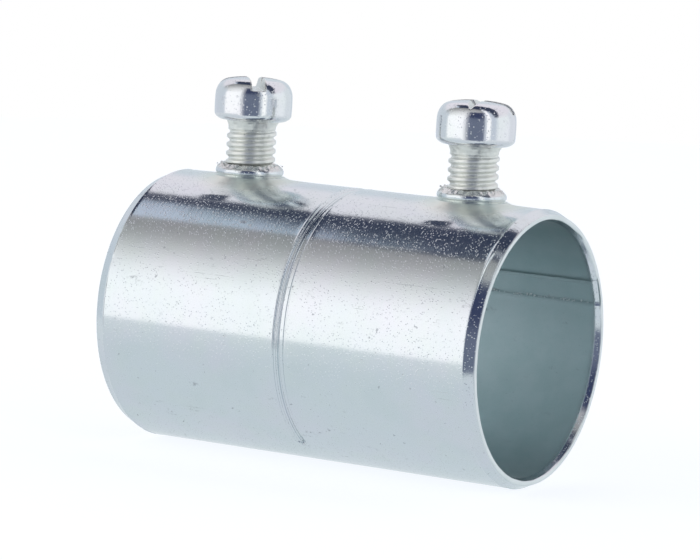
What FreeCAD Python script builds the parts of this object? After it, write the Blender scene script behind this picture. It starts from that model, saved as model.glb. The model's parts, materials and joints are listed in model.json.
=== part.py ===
"""Set-screw coupling for thin-wall electrical conduit, as a parametric document.

The sleeve's axis is X, its middle is the origin, and both screws point along +Z.
Angles round the sleeve are measured from +Y towards +Z, so the screws are at 90 degrees.
"""
import FreeCAD
import Part
import Sketcher
import os
from FreeCAD import Placement, Rotation, Vector

doc = FreeCAD.newDocument("conduit_coupling")

# ---------------------------------------------------------------- driving sizes
SIZES = {
    # the pipe that is pushed into each end, and the room round it
    "conduit_outer_dia": 29.54,
    "conduit_clearance": 0.28,
    # the sleeve
    "wall_thick": 1.35,
    "sleeve_length": 51.8,
    "outer_bevel_length": 1.3,
    "outer_bevel_depth": 0.7,
    "inner_bevel_length": 0.8,
    "inner_bevel_depth": 0.3,
    # the welded seam inside, planed flat after the tube was rolled up
    "seam_angle": 22.9,
    "seam_width": 2.8,
    "seam_depth": 0.12,
    # the groove rolled in at mid length, and the stop that it raises inside
    "groove_width": 1.45,
    "groove_floor": 0.75,
    "groove_depth": 0.45,
    "groove_gap_angle": 75.0,
    "stop_height": 0.7,
    "stop_foot": 2.2,
    "stop_crest": 1.0,
    # where the roll lifts off, the stop fades to a low trace that still parts the two sockets
    "trace_height": 0.25,
    "trace_foot": 2.0,
    "trace_crest": 1.6,
    "pit_dia": 0.4,
    "pit_depth": 0.8,
    # the collars drawn up out of the wall
    "screw_from_end": 10.5,
    "collar_wall": 1.075,
    "collar_height": 1.65,
    "collar_edge": 0.3,
    "undercut_depth": 0.16,
    "undercut_height": 0.3,
    "flare_spread": 2.425,
    "flare_radius": 11.0,
    "flare_rise": 0.12,
    "mouth_width": 0.6,
    "mouth_depth": 0.55,
    # the thread: sizes of the screw, then the room that the tapped hole adds
    "thread_dia": 6.0,
    "thread_pitch": 1.0583,
    "thread_depth": 0.45,
    "thread_root": 0.2,
    "thread_clearance": 0.12,
    "flank_clearance": 0.1,
    # the screws
    "shank_length": 7.94,
    "neck_length": 1.45,
    "neck_relief": 0.1,
    "point_length": 0.7,
    "point_relief": 0.35,
    "point_edge": 0.3,
    "head_dia": 9.4,
    "head_height": 5.25,
    "head_bulge": 0.22,
    "head_foot_edge": 0.7,
    "head_shoulder": 1.5,
    "shoulder_radius": 1.725,
    "head_crown": 0.3,
    "slot_width": 1.75,
    "slot_depth": 1.45,
    "cross_width": 1.3,
    "cross_depth": 0.95,
    # how each screw stands as it is supplied
    "left_tip_inset": 0.3,
    "right_tip_inset": 0.12,
    "left_slot_angle": 128.6,
    "right_slot_angle": 17.5,
}

sheet = doc.addObject("Spreadsheet::Sheet", "Sizes")
for row, (alias, size) in enumerate(SIZES.items(), start=1):
    sheet.set(f"A{row}", alias)
    sheet.set(f"B{row}", str(size))
    sheet.setAlias(f"B{row}", alias)
doc.recompute()


def cell(alias):
    """How an expression names one size of the sheet."""
    return f"Sizes.{alias}"


def half(alias):
    return f"({cell(alias)} / 2)"


def number(expression):
    """What an expression comes to with the sheet's present sizes."""
    return float(sheet.evalExpression(expression))


# ---------------------------------------------------------------- places that several pieces share
BORE = f"({half('conduit_outer_dia')} + {cell('conduit_clearance')})"
TUBE = f"({BORE} + {cell('wall_thick')})"
END = half("sleeve_length")
SCREW_X = f"({END} - {cell('screw_from_end')})"
COLLAR_TOP = f"({TUBE} + {cell('collar_height')})"
THREAD = half("thread_dia")
CORE = f"({THREAD} - {cell('thread_depth')})"
TAPPED_CREST = f"({CORE} + {cell('thread_clearance')})"
TAPPED_ROOT = f"({THREAD} + {cell('thread_clearance')})"
COLLAR = f"({THREAD} + {cell('collar_wall')})"
FLANK_SLOPE = "tan(30)"
# half the width of the screw's ridge at its crest
RIDGE = (f"({cell('thread_pitch')} / 2 - {half('thread_root')}"
         f" - {cell('thread_depth')} * {FLANK_SLOPE})")


# ---------------------------------------------------------------- tools for sketches and features
def origin_plane(body, role):
    return next(item for item in body.Origin.OriginFeatures if item.Role == role)


def bound_sketch(body, name, role, turn=None, turn_axis=Vector(1, 0, 0), shift=None):
    """An empty sketch on one of the body's origin planes, turned or shifted by expressions."""
    sketch = body.newObject("Sketcher::SketchObject", name)
    sketch.AttachmentSupport = [(origin_plane(body, role), "")]
    sketch.MapMode = "FlatFace"
    if turn is not None:
        sketch.AttachmentOffset = Placement(Vector(), Rotation(turn_axis, number(turn)))
        sketch.setExpression(".AttachmentOffset.Rotation.Angle", turn)
    if shift is not None:
        for axis, expression in shift.items():
            sketch.setExpression(f".AttachmentOffset.Base.{axis}", expression)
    return sketch


def hold(sketch, kind, geometry, end, expression):
    """Ties one coordinate of a point to an expression."""
    index = sketch.addConstraint(Sketcher.Constraint(kind, -1, 1, geometry, end, number(expression)))
    sketch.setExpression(f"Constraints[{index}]", expression)


def draw_loop(sketch, corners, bulges=None):
    """A closed outline through corners given as pairs of expressions.

    bulges gives, for a side's number, the expression of its radius and the way it bows:
    +1 to the left of its direction and -1 to the right.
    """
    bulges = bulges or {}
    points = [Vector(number(x), number(y), 0) for x, y in corners]
    starts = []
    for side, point in enumerate(points):
        after = points[(side + 1) % len(points)]
        if side in bulges:
            radius, way = bulges[side]
            chord = after - point
            reach = number(radius)
            rise = reach - (reach ** 2 - (chord.Length / 2) ** 2) ** 0.5
            outward = Vector(-chord.y, chord.x, 0).normalize() * (way * rise)
            # a sketch wants its arcs drawn anticlockwise
            ends = (point, after) if way < 0 else (after, point)
            shape = Part.Arc(ends[0], (point + after) / 2 + outward, ends[1])
        else:
            shape = Part.LineSegment(point, after)
        index = sketch.addGeometry(shape, False)
        first = sketch.Geometry[index].StartPoint
        starts.append(1 if first.distanceToPoint(point) < 1e-6 else 2)
    for side in range(len(points)):
        after = (side + 1) % len(points)
        sketch.addConstraint(Sketcher.Constraint("Coincident", side, 3 - starts[side], after, starts[after]))
    for side, (x, y) in enumerate(corners):
        hold(sketch, "DistanceX", side, starts[side], x)
        hold(sketch, "DistanceY", side, starts[side], y)
    for side, (radius, way) in bulges.items():
        index = sketch.addConstraint(Sketcher.Constraint("Radius", side, number(radius)))
        sketch.setExpression(f"Constraints[{index}]", radius)
    return sketch


def check_change(body, feature, grows):
    """Stops if a feature added or removed nothing."""
    before = feature.BaseFeature.Shape.Volume if feature.BaseFeature else 0
    doc.recompute()
    if feature.Shape.isNull():
        raise RuntimeError(f"{body.Label}: {feature.Label} has no shape: {feature.getStatusString()}")
    change = feature.Shape.Volume - before
    if (change > 0) != grows or abs(change) < 1e-4:
        raise RuntimeError(f"{body.Label}: {feature.Label} changed the volume by {change:.4f} mm3")


def spin(body, name, sketch, axis, grows=True, angle="360", midplane=False):
    """Turns an outline into metal, or into a cut, about one of its sketch's own axes."""
    feature = body.newObject("PartDesign::Revolution" if grows else "PartDesign::Groove", name)
    feature.Profile = sketch
    feature.ReferenceAxis = (sketch, [axis])
    feature.setExpression("Angle", angle)
    feature.Midplane = midplane
    check_change(body, feature, grows)
    return feature


def cut_helix(body, name, sketch, height):
    """Cuts a right-hand thread with the outline in a sketch, upwards about its vertical axis."""
    feature = body.newObject("PartDesign::SubtractiveHelix", name)
    feature.Profile = sketch
    feature.ReferenceAxis = (sketch, ["V_Axis"])
    feature.Mode = "pitch-height-angle"
    feature.setExpression("Pitch", cell("thread_pitch"))
    feature.setExpression("Height", height)
    feature.LeftHanded = False
    check_change(body, feature, grows=False)
    return feature


def new_body(label):
    body = doc.addObject("PartDesign::Body", label)
    body.Label = label
    return body


# ---------------------------------------------------------------- sleeve
def sleeve_bar(body):
    """The outside of the tube as a solid bar, with its two outer bevels."""
    low = f"({TUBE} - {cell('outer_bevel_depth')})"
    full = f"({END} - {cell('outer_bevel_length')})"
    sketch = bound_sketch(body, "bar_outline", "XY_Plane")
    draw_loop(sketch, [
        (f"-{END}", "0"),
        (END, "0"),
        (END, low),
        (full, TUBE),
        (f"-{full}", TUBE),
        (f"-{END}", low),
    ])
    spin(body, "bar", sketch, "H_Axis")


def sleeve_collar(body, side, centre):
    """The drawn collar: a wide flare, an undercut line, an upright band and a broken edge."""
    foot = f"({COLLAR} + {cell('flare_spread')})"
    foot_height = f"sqrt({TUBE} ^ 2 - {foot} ^ 2)"
    # the outline starts well inside the tube, and the bore takes away what stands in it
    floor = f"({foot_height} - 2 * {cell('wall_thick')})"
    waist = f"({COLLAR} - {cell('undercut_depth')})"
    shelf = f"({TUBE} + {cell('flare_rise')})"
    sketch = bound_sketch(body, f"{side}_collar_outline", "XZ_Plane", shift={"x": centre})
    draw_loop(sketch, [
        ("0", floor),
        (foot, floor),
        (foot, foot_height),
        (waist, shelf),
        (waist, f"({shelf} + {half('undercut_height')})"),
        (COLLAR, f"({shelf} + {cell('undercut_height')})"),
        (COLLAR, f"({COLLAR_TOP} - {cell('collar_edge')})"),
        (f"({COLLAR} - {cell('collar_edge')})", COLLAR_TOP),
        ("0", COLLAR_TOP),
    ], bulges={2: (cell("flare_radius"), 1)})
    spin(body, f"{side}_collar", sketch, "V_Axis")


def sleeve_bore(body):
    """The bore for the pipe, with a bevel at each mouth."""
    wide = f"({BORE} + {cell('inner_bevel_depth')})"
    full = f"({END} - {cell('inner_bevel_length')})"
    sketch = bound_sketch(body, "bore_outline", "XY_Plane")
    draw_loop(sketch, [
        (f"-{END}", "0"),
        (END, "0"),
        (END, wide),
        (full, BORE),
        (f"-{full}", BORE),
        (f"-{END}", wide),
    ])
    spin(body, "bore", sketch, "H_Axis", grows=False)


def sleeve_seam(body):
    """The flat left where the weld bead was planed off, the whole length of the bore."""
    spread = f"({cell('seam_width')} / {BORE} * 180 / pi)"
    sketch = bound_sketch(body, "seam_outline", "XY_Plane", turn=cell("seam_angle"))
    draw_loop(sketch, [
        (f"-{END}", f"({BORE} - {cell('wall_thick')})"),
        (END, f"({BORE} - {cell('wall_thick')})"),
        (END, f"({BORE} + {cell('seam_depth')})"),
        (f"-{END}", f"({BORE} + {cell('seam_depth')})"),
    ])
    spin(body, "seam", sketch, "H_Axis", grows=False, angle=spread, midplane=True)


def sleeve_stop(body):
    """The ridge that stops each pipe at mid length, its groove outside, and their round ends."""
    start = f"({half('groove_gap_angle')} - 90)"
    sweep = f"(360 - {cell('groove_gap_angle')})"
    finish = f"({start} + {sweep})"
    root = f"({BORE} + {half('wall_thick')})"
    crest = f"({BORE} - {cell('stop_height')})"
    floor = f"({TUBE} - {cell('groove_depth')})"
    over = f"({TUBE} + {cell('groove_depth')})"
    foot, tip = half("stop_foot"), half("stop_crest")
    lip, bed = half("groove_width"), half("groove_floor")

    low, lead = half("trace_foot"), half("trace_crest")
    faint = f"({BORE} - {cell('trace_height')})"
    sketch = bound_sketch(body, "trace_outline", "XY_Plane")
    draw_loop(sketch, [(f"-{low}", root), (f"-{low}", BORE), (f"-{lead}", faint),
                       (lead, faint), (low, BORE), (low, root)])
    spin(body, "trace", sketch, "H_Axis")

    sketch = bound_sketch(body, "stop_outline", "XY_Plane", turn=start)
    draw_loop(sketch, [(f"-{foot}", root), (f"-{foot}", BORE), (f"-{tip}", crest),
                       (tip, crest), (foot, BORE), (foot, root)])
    spin(body, "stop", sketch, "H_Axis", angle=sweep)
    for name, angle in (("first", start), ("last", finish)):
        sketch = bound_sketch(body, f"stop_{name}_end_outline", "XY_Plane", turn=angle)
        draw_loop(sketch, [("0", root), (foot, root), (foot, BORE), (tip, crest), ("0", crest)])
        spin(body, f"stop_{name}_end", sketch, "V_Axis")

    sketch = bound_sketch(body, "groove_outline", "XY_Plane", turn=start)
    draw_loop(sketch, [(f"-{lip}", over), (f"-{lip}", TUBE), (f"-{bed}", floor),
                       (bed, floor), (lip, TUBE), (lip, over)])
    spin(body, "groove", sketch, "H_Axis", grows=False, angle=sweep)
    for name, angle in (("first", start), ("last", finish)):
        sketch = bound_sketch(body, f"groove_{name}_end_outline", "XY_Plane", turn=angle)
        draw_loop(sketch, [("0", over), (lip, over), (lip, TUBE), (bed, floor), ("0", floor)])
        spin(body, f"groove_{name}_end", sketch, "V_Axis", grows=False)

    # the roll leaves a small pit where it lifts off
    lift_off = f"(asin({lip} / {TUBE}) / 1 deg)"
    for name, angle in (("first", f"({start} - {lift_off})"), ("last", f"({finish} + {lift_off})")):
        sketch = bound_sketch(body, f"pit_{name}_outline", "XY_Plane", turn=angle)
        bottom = f"({TUBE} - {cell('pit_depth')})"
        draw_loop(sketch, [("0", over), (half("pit_dia"), over), (half("pit_dia"), bottom), ("0", bottom)])
        spin(body, f"pit_{name}", sketch, "V_Axis", grows=False)


def sleeve_tapped_hole(body, side, centre):
    """The hole through one collar, open at both mouths, with the thread that fits its screw."""
    wide = f"({TAPPED_CREST} + {cell('mouth_width')})"
    below = f"({BORE} - {cell('wall_thick')})"
    above = f"({COLLAR_TOP} + {cell('collar_edge')})"
    sketch = bound_sketch(body, f"{side}_hole_outline", "XZ_Plane", shift={"x": centre})
    draw_loop(sketch, [
        ("0", below),
        (wide, below),
        (wide, BORE),
        (TAPPED_CREST, f"({BORE} + {cell('mouth_depth')})"),
        (TAPPED_CREST, f"({COLLAR_TOP} - {cell('mouth_depth')})"),
        (wide, COLLAR_TOP),
        (wide, above),
        ("0", above),
    ])
    spin(body, f"{side}_hole", sketch, "V_Axis", grows=False)

    # one turn below the screw's tip the tapped groove is in step with the screw's ridge
    step = f"({BORE} + {cell(side + '_tip_inset')} - 2 * {cell('thread_pitch')})"
    inner = f"({CORE} + {cell('thread_clearance')} / 2)"
    shallow = f"({RIDGE} + {cell('flank_clearance')} + ({THREAD} - {inner}) * {FLANK_SLOPE})"
    deep = f"({RIDGE} + {cell('flank_clearance')} - {cell('thread_clearance')} * {FLANK_SLOPE})"
    sketch = bound_sketch(body, f"{side}_tap_outline", "XZ_Plane", shift={"x": centre, "y": step})
    draw_loop(sketch, [(inner, f"-{shallow}"), (TAPPED_ROOT, f"-{deep}"),
                       (TAPPED_ROOT, deep), (inner, shallow)])
    reach = f"({COLLAR_TOP} - {step} + {cell('thread_pitch')})"
    cut_helix(body, f"{side}_tap", sketch, reach)


def make_sleeve():
    body = new_body("sleeve")
    centres = {"left": f"(-{SCREW_X})", "right": SCREW_X}
    sleeve_bar(body)
    for side, centre in centres.items():
        sleeve_collar(body, side, centre)
    sleeve_bore(body)
    sleeve_seam(body)
    sleeve_stop(body)
    for side, centre in centres.items():
        sleeve_tapped_hole(body, side, centre)
    return body


# ---------------------------------------------------------------- screws
def make_screw(side, centre):
    """One screw, drawn with the underside of its head at its own origin."""
    body = new_body(f"{side}_set_screw")
    rim = half("head_dia")
    neck = f"({THREAD} - {cell('neck_relief')})"
    side_radius = f"({rim} - {cell('head_bulge')})"
    shoulder = f"({cell('head_height')} - {cell('head_crown')} - {cell('head_shoulder')})"
    crown_edge = f"({rim} - {cell('head_shoulder')})"
    rise = f"({shoulder} - {cell('head_foot_edge')})"
    bow = f"(({rise} / 2) ^ 2 / (2 * {cell('head_bulge')}) + {cell('head_bulge')} / 2)"
    end = f"(-{cell('shank_length')} + {cell('point_length')})"
    sketch = bound_sketch(body, f"{side}_screw_outline", "XZ_Plane")
    draw_loop(sketch, [
        ("0", end),
        (f"({THREAD} - {cell('point_edge')})", end),
        (THREAD, f"({end} + {cell('point_edge')})"),
        (THREAD, f"(-{cell('neck_length')})"),
        (neck, f"(-{cell('neck_length')} + {cell('neck_relief')})"),
        (neck, "0"),
        (f"({rim} - {cell('head_foot_edge')})", "0"),
        (side_radius, cell("head_foot_edge")),
        (side_radius, shoulder),
        (crown_edge, f"({cell('head_height')} - {cell('head_crown')})"),
        ("0", cell("head_height")),
    ], bulges={7: (bow, -1), 8: (cell("shoulder_radius"), -1)})
    spin(body, f"{side}_screw", sketch, "V_Axis")

    # the slot, a straight saw cut, and the shallower V across it
    turn = cell(f"{side}_slot_angle")
    top = cell("head_height")
    over = f"({top} + {cell('slot_depth')})"
    cuts = {
        "slot": (turn, [(f"-{half('slot_width')}", over), (half("slot_width"), over),
                        (half("slot_width"), f"({top} - {cell('slot_depth')})"),
                        (f"-{half('slot_width')}", f"({top} - {cell('slot_depth')})")]),
        "cross": (f"({turn} + 90)", [(f"-{cell('cross_width')}", f"({top} + {cell('cross_depth')})"),
                                     (cell("cross_width"), f"({top} + {cell('cross_depth')})"),
                                     ("0", f"({top} - {cell('cross_depth')})")]),
    }
    for name, (angle, corners) in cuts.items():
        # the sketch stands across the cut, which runs past both sides of the head
        sketch = bound_sketch(body, f"{side}_{name}_outline", "YZ_Plane",
                              turn=angle, turn_axis=Vector(0, 1, 0))
        draw_loop(sketch, corners)
        pocket = body.newObject("PartDesign::Pocket", f"{side}_{name}")
        pocket.Profile = sketch
        pocket.Type = 0
        pocket.Midplane = True
        pocket.setExpression("Length", f"(2 * {cell('head_dia')})")
        check_change(body, pocket, grows=False)

    # the thread, cut between ridges whose middle is at the tip on the screw's +X side
    outer = f"({THREAD} + {cell('thread_clearance')})"
    mouth = f"({half('thread_root')} + ({outer} - {CORE}) * {FLANK_SLOPE})"
    below = f"(-{cell('shank_length')} - {cell('thread_pitch')} / 2)"
    sketch = bound_sketch(body, f"{side}_thread_outline", "XZ_Plane", shift={"y": below})
    draw_loop(sketch, [(CORE, f"-{half('thread_root')}"), (outer, f"-{mouth}"),
                       (outer, mouth), (CORE, half("thread_root"))])
    cut_helix(body, f"{side}_thread", sketch, f"(-{cell('neck_length')} - {below})")
    place(body, side, centre)
    return body


def make_point(side, centre):
    """The plain point below the thread, which travels with the screw."""
    body = new_body(f"{side}_screw_point")
    tip = f"(-{cell('shank_length')})"
    top = f"({tip} + {cell('point_length')})"
    radius = f"({CORE} - {cell('point_relief')})"
    sketch = bound_sketch(body, f"{side}_point_outline", "XZ_Plane")
    draw_loop(sketch, [
        ("0", tip),
        (f"({radius} - {cell('point_edge')})", tip),
        (radius, f"({tip} + {cell('point_edge')})"),
        (radius, top),
        ("0", top),
    ])
    spin(body, f"{side}_point", sketch, "V_Axis")
    place(body, side, centre)
    return body


def place(body, side, centre):
    """Stands a screw or its point over its hole, with the tip just outside the bore."""
    body.setExpression(".Placement.Base.x", centre)
    body.setExpression(".Placement.Base.z",
                       f"{BORE} + {cell(side + '_tip_inset')} + {cell('shank_length')}")


# ---------------------------------------------------------------- build, check and write
pieces = [make_sleeve()]
for side, centre in (("left", f"(-{SCREW_X})"), ("right", SCREW_X)):
    pieces.append(make_screw(side, centre))
    pieces.append(make_point(side, centre))
doc.recompute()

for item in doc.Objects:
    if "Invalid" in item.State or "Error" in item.State:
        raise RuntimeError(f"{item.Label} did not build: {item.State}")
for piece in pieces:
    if piece.Shape.isNull() or not piece.Shape.isValid():
        raise RuntimeError(f"{piece.Label} has no valid shape")
    if len(piece.Shape.Solids) != 1:
        raise RuntimeError(f"{piece.Label} is {len(piece.Shape.Solids)} solids")

os.makedirs("parts", exist_ok=True)
for piece in pieces:
    piece.Shape.exportStep(f"parts/{piece.Label}.step")
    box = piece.Shape.BoundBox
    print(f"{piece.Label}: {piece.Shape.Volume:.1f} mm3,"
          f" x {box.XMin:.2f}..{box.XMax:.2f}, y {box.YMin:.2f}..{box.YMax:.2f},"
          f" z {box.ZMin:.2f}..{box.ZMax:.2f}")
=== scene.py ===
# %% [markdown]
# # A set-screw coupling for thin-wall conduit
#
# The object is a short zinc-plated steel sleeve. A pipe goes into each end, meets a rolled stop
# in the middle, and is held by a set screw that runs in a collar drawn up out of the wall.
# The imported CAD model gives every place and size; this lesson gives each piece the surface that
# the real one has. All working sizes are in millimetres, and become metres when a mesh is made.

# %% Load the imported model
import json
import math
import bmesh
import bpy
import numpy as np
from mathutils import Matrix, Vector


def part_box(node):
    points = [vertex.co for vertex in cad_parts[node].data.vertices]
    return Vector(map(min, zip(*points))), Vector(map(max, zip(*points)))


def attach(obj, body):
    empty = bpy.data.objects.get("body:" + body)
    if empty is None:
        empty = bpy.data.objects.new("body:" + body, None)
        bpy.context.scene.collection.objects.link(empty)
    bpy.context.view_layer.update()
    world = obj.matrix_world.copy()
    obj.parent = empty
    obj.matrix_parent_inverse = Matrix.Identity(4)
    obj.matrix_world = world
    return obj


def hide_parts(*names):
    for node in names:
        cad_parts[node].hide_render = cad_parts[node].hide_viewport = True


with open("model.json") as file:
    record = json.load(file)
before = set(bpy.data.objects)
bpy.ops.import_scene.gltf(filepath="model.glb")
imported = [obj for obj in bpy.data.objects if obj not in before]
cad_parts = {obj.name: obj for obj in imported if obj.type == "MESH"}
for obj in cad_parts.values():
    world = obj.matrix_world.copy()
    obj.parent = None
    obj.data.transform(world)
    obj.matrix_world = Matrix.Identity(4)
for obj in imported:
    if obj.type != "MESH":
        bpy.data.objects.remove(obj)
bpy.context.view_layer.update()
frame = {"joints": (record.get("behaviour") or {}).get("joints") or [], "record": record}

# %% [markdown]
# ## Places and sizes
#
# What the frame can say is read from it: the sleeve's length and radius from its box, the bore
# from a mount, each screw's place from its hinge, the pitch from the coupling between turn and
# travel, and the lowest point of each screw from the box of its tip. The rest are the sizes of
# small features, named where they are first used.

# %% Read the shared sizes from the frame
MM = 0.001
SIDES = ("left", "right")
record = frame["record"]
HALF_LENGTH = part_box("sleeve")[1].x / MM
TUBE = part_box("sleeve")[1].y / MM
BORE = next(m for m in record["mounts"] if m["name"] == "left_socket")["dims"]["r_mm"]
PITCH = 2 * math.pi / record["behaviour"]["couplings"][0]["ratio"] / MM
SCREW_X = {j["name"].split("_")[0]: j["pos_m"][0] / MM for j in frame["joints"] if j["type"] == "hinge"}
TIP_Z = {side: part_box(f"{side}_screw_point")[0].z / MM for side in SIDES}
print("half length", HALF_LENGTH, "tube", TUBE, "bore", BORE, "pitch", PITCH, SCREW_X, TIP_Z)


# %% [markdown]
# ## A skin made of rows
#
# The sleeve and the screws are all rows of points with faces between neighbouring rows. A small
# class keeps the points and faces, so that two surfaces can share the points where they meet.
# That keeps the sleeve one closed skin, which no boolean would do as cleanly on such thin steel.

# %% Collect rows of points and the faces between them
class Skin:
    def __init__(self):
        self.points = []
        self.faces = []
        self.count = 0

    def row(self, points):
        """Adds points and returns their numbers, in the same shape."""
        points = np.asarray(points, float)
        flat = points.reshape(-1, 3)
        self.points.append(flat)
        numbers = np.arange(self.count, self.count + len(flat))
        self.count += len(flat)
        return numbers.reshape(points.shape[:-1])

    def quads(self, a, b, c, d):
        self.faces += np.stack([a, b, c, d], -1).reshape(-1, 4).tolist()

    def band(self, lower, upper):
        """Faces between two closed rows of the same length."""
        self.quads(lower, np.roll(lower, -1), np.roll(upper, -1), upper)

    def cap(self, row, centre, flip=False):
        """Closes a row with triangles to one point."""
        hub = int(self.row([centre])[0])
        after = np.roll(row, -1)
        pairs = zip(after, row) if flip else zip(row, after)
        self.faces += [[int(a), int(b), hub] for a, b in pairs]

    def mesh(self, name):
        """A mesh in metres with only the points in use, facing outwards."""
        points = np.concatenate(self.points) * MM
        used, faces = np.unique(np.concatenate([np.array(f) for f in self.faces]), return_inverse=True)
        lengths = np.cumsum([0] + [len(f) for f in self.faces])
        faces = [faces[a:b].tolist() for a, b in zip(lengths[:-1], lengths[1:])]
        mesh = bpy.data.meshes.new(name)
        mesh.from_pydata(points[used].tolist(), [], faces)
        return face_outwards(mesh)


def face_outwards(mesh):
    """Turns every face of a closed mesh to the outside and shades it smooth."""
    shape = bmesh.new()
    shape.from_mesh(mesh)
    bmesh.ops.recalc_face_normals(shape, faces=shape.faces)
    if shape.calc_volume(signed=True) < 0:
        bmesh.ops.reverse_faces(shape, faces=shape.faces)
    open_edges = sum(1 for edge in shape.edges if not edge.is_manifold)
    print(mesh.name, len(shape.faces), "faces,", open_edges, "open edges,",
          round(shape.calc_volume() / MM ** 3, 1), "mm3")
    shape.to_mesh(mesh)
    shape.free()
    mesh.shade_smooth()
    return mesh


def show(mesh, material):
    """Puts a finished mesh in the scene as an object at the origin."""
    piece = bpy.data.objects.new(mesh.name, mesh)
    bpy.context.scene.collection.objects.link(piece)
    mesh.materials.clear()
    mesh.materials.append(material)
    return piece


# %% [markdown]
# ## Unevenness
#
# Drawn, stamped and plated steel is never true. Two helpers give it: long waves, as a sum of a
# few sine waves in random directions, and rough edges, as many short waves round a ring. Both
# take a seed, so that the same metal comes out each time.

# %% Long waves in space and rough lines round a ring
def waves(points, length, amount, seed, count=10):
    """A smooth uneven number at each point, for waves of about this length."""
    draw = np.random.default_rng(seed)
    total = np.zeros(points.shape[:-1])
    for _ in range(count):
        way = draw.normal(size=3)
        way *= 2 * math.pi / (length * draw.uniform(0.6, 1.6) * np.linalg.norm(way))
        total += np.sin(points @ way + draw.uniform(0, 2 * math.pi))
    return total * amount / math.sqrt(count)


def rough_ring(angles, low, high, amount, seed):
    """A rough number for each angle, from every whole number of waves between low and high."""
    draw = np.random.default_rng(seed)
    total = np.zeros_like(angles)
    for turns in range(low, high):
        total += draw.normal() * np.sin(turns * angles + draw.uniform(0, 2 * math.pi))
    return total * amount / math.sqrt(high - low)


def step_up(value, start, stop):
    """0 before start, 1 after stop, and a smooth rise between."""
    share = np.clip((value - start) / (stop - start), 0, 1)
    return share * share * (3 - 2 * share)


# %% [markdown]
# ## The outside of the tube
#
# The outside is a radius for each place along the axis (x) and round it (turn, in degrees from
# +Y towards +Z, so the screws stand at 90). Into it go the bevel with its thin burr, the rolled
# groove, which stops short of the underside and ends in two small pits, and a few nicks.

# %% Radius of the outside
BEVEL_LENGTH, BEVEL_DEPTH = 1.3, 0.56
BEVEL_BURR, BURR_WIDTH = 0.045, 0.09
KNOCK_DEPTH, KNOCK_WIDTH = 0.16, 0.16
GROOVE_ENDS = (232.5, 307.5)
# across the groove: a thin ridge left between a narrow channel and the main one
GROOVE_X = (-1.0, -0.86, -0.74, -0.64, -0.48, -0.38, -0.24, -0.12, 0.42, 0.62, 0.76, 0.88, 1.0)
GROOVE_RISE = (0, 0.03, 0.01, -0.26, -0.3, -0.12, -0.13, -0.45, -0.45, -0.12, 0.01, 0.03, 0)
PIT_RADIUS, PIT_DEPTH = 0.22, 0.55


def arc_length(degrees):
    return np.radians(degrees) * TUBE


def beyond_groove(turn):
    """How far past either end of the groove a place lies, in mm along the skin."""
    return arc_length(np.clip(np.minimum(turn - GROOVE_ENDS[0], GROOVE_ENDS[1] - turn), 0, None))


def nicks(turn, seed, count=26):
    """Knocks round an edge: 0 almost everywhere, up to 1 in the middle of each."""
    draw = np.random.default_rng(seed)
    total = np.zeros_like(turn)
    for centre, width, depth in zip(draw.uniform(60, 420, count), draw.uniform(0.5, 1.8, count),
                                    draw.uniform(0.2, 1, count) ** 2):
        total = np.maximum(total, depth * np.exp(-((turn - centre) / width) ** 2))
    return total


def outer_radius(x, turn):
    x, turn = np.broadcast_arrays(np.asarray(x, float), np.asarray(turn, float))
    end = HALF_LENGTH - np.abs(x)
    radius = TUBE - BEVEL_DEPTH * np.clip(1 - end / BEVEL_LENGTH, 0, 1)
    radius = radius + BEVEL_BURR * np.exp(-((end - BEVEL_LENGTH) / BURR_WIDTH) ** 2)
    side = np.where(x < 0, -1.0, 1.0)
    beyond = beyond_groove(turn)
    radius += np.interp(side * np.hypot(x, beyond), GROOVE_X, GROOVE_RISE)
    pit = np.hypot(x, beyond - GROOVE_X[-3])
    radius -= PIT_DEPTH * step_up(PIT_RADIUS * 1.4 - pit, 0, PIT_RADIUS * 0.8)
    knock = nicks(turn, 4) * (x > 0) + nicks(turn, 5) * (x < 0)
    radius -= KNOCK_DEPTH * knock * np.exp(-((end - BEVEL_LENGTH) / KNOCK_WIDTH) ** 2)
    place = np.stack([x, TUBE * np.cos(np.radians(turn)), TUBE * np.sin(np.radians(turn))], -1)
    return radius + waves(place, 14, 0.006, 1) + waves(place, 4.5, 0.0012, 2)


print("radius at a plain place", outer_radius(8.0, 180.0), "and in the groove", outer_radius(0.1, 180.0))

# %% [markdown]
# ## The inside of the tube
#
# The bore is satin, with the seam planed flat along the whole length: one edge of that flat is
# clean and the other ragged. The stop is the back of the groove, so it stands where the groove
# is, and fades to a low trace in between.

# %% Radius of the inside
MOUTH_LENGTH, MOUTH_DEPTH = 0.8, 0.3
SEAM_RAGGED, SEAM_CLEAN, SEAM_DEPTH, SEAM_LINE_DEPTH = 377.5, 388.2, 0.12, 0.07
STOP_FOOT, STOP_CREST, STOP_HEIGHT, TRACE_HEIGHT = 1.1, 0.5, 0.7, 0.25


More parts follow.
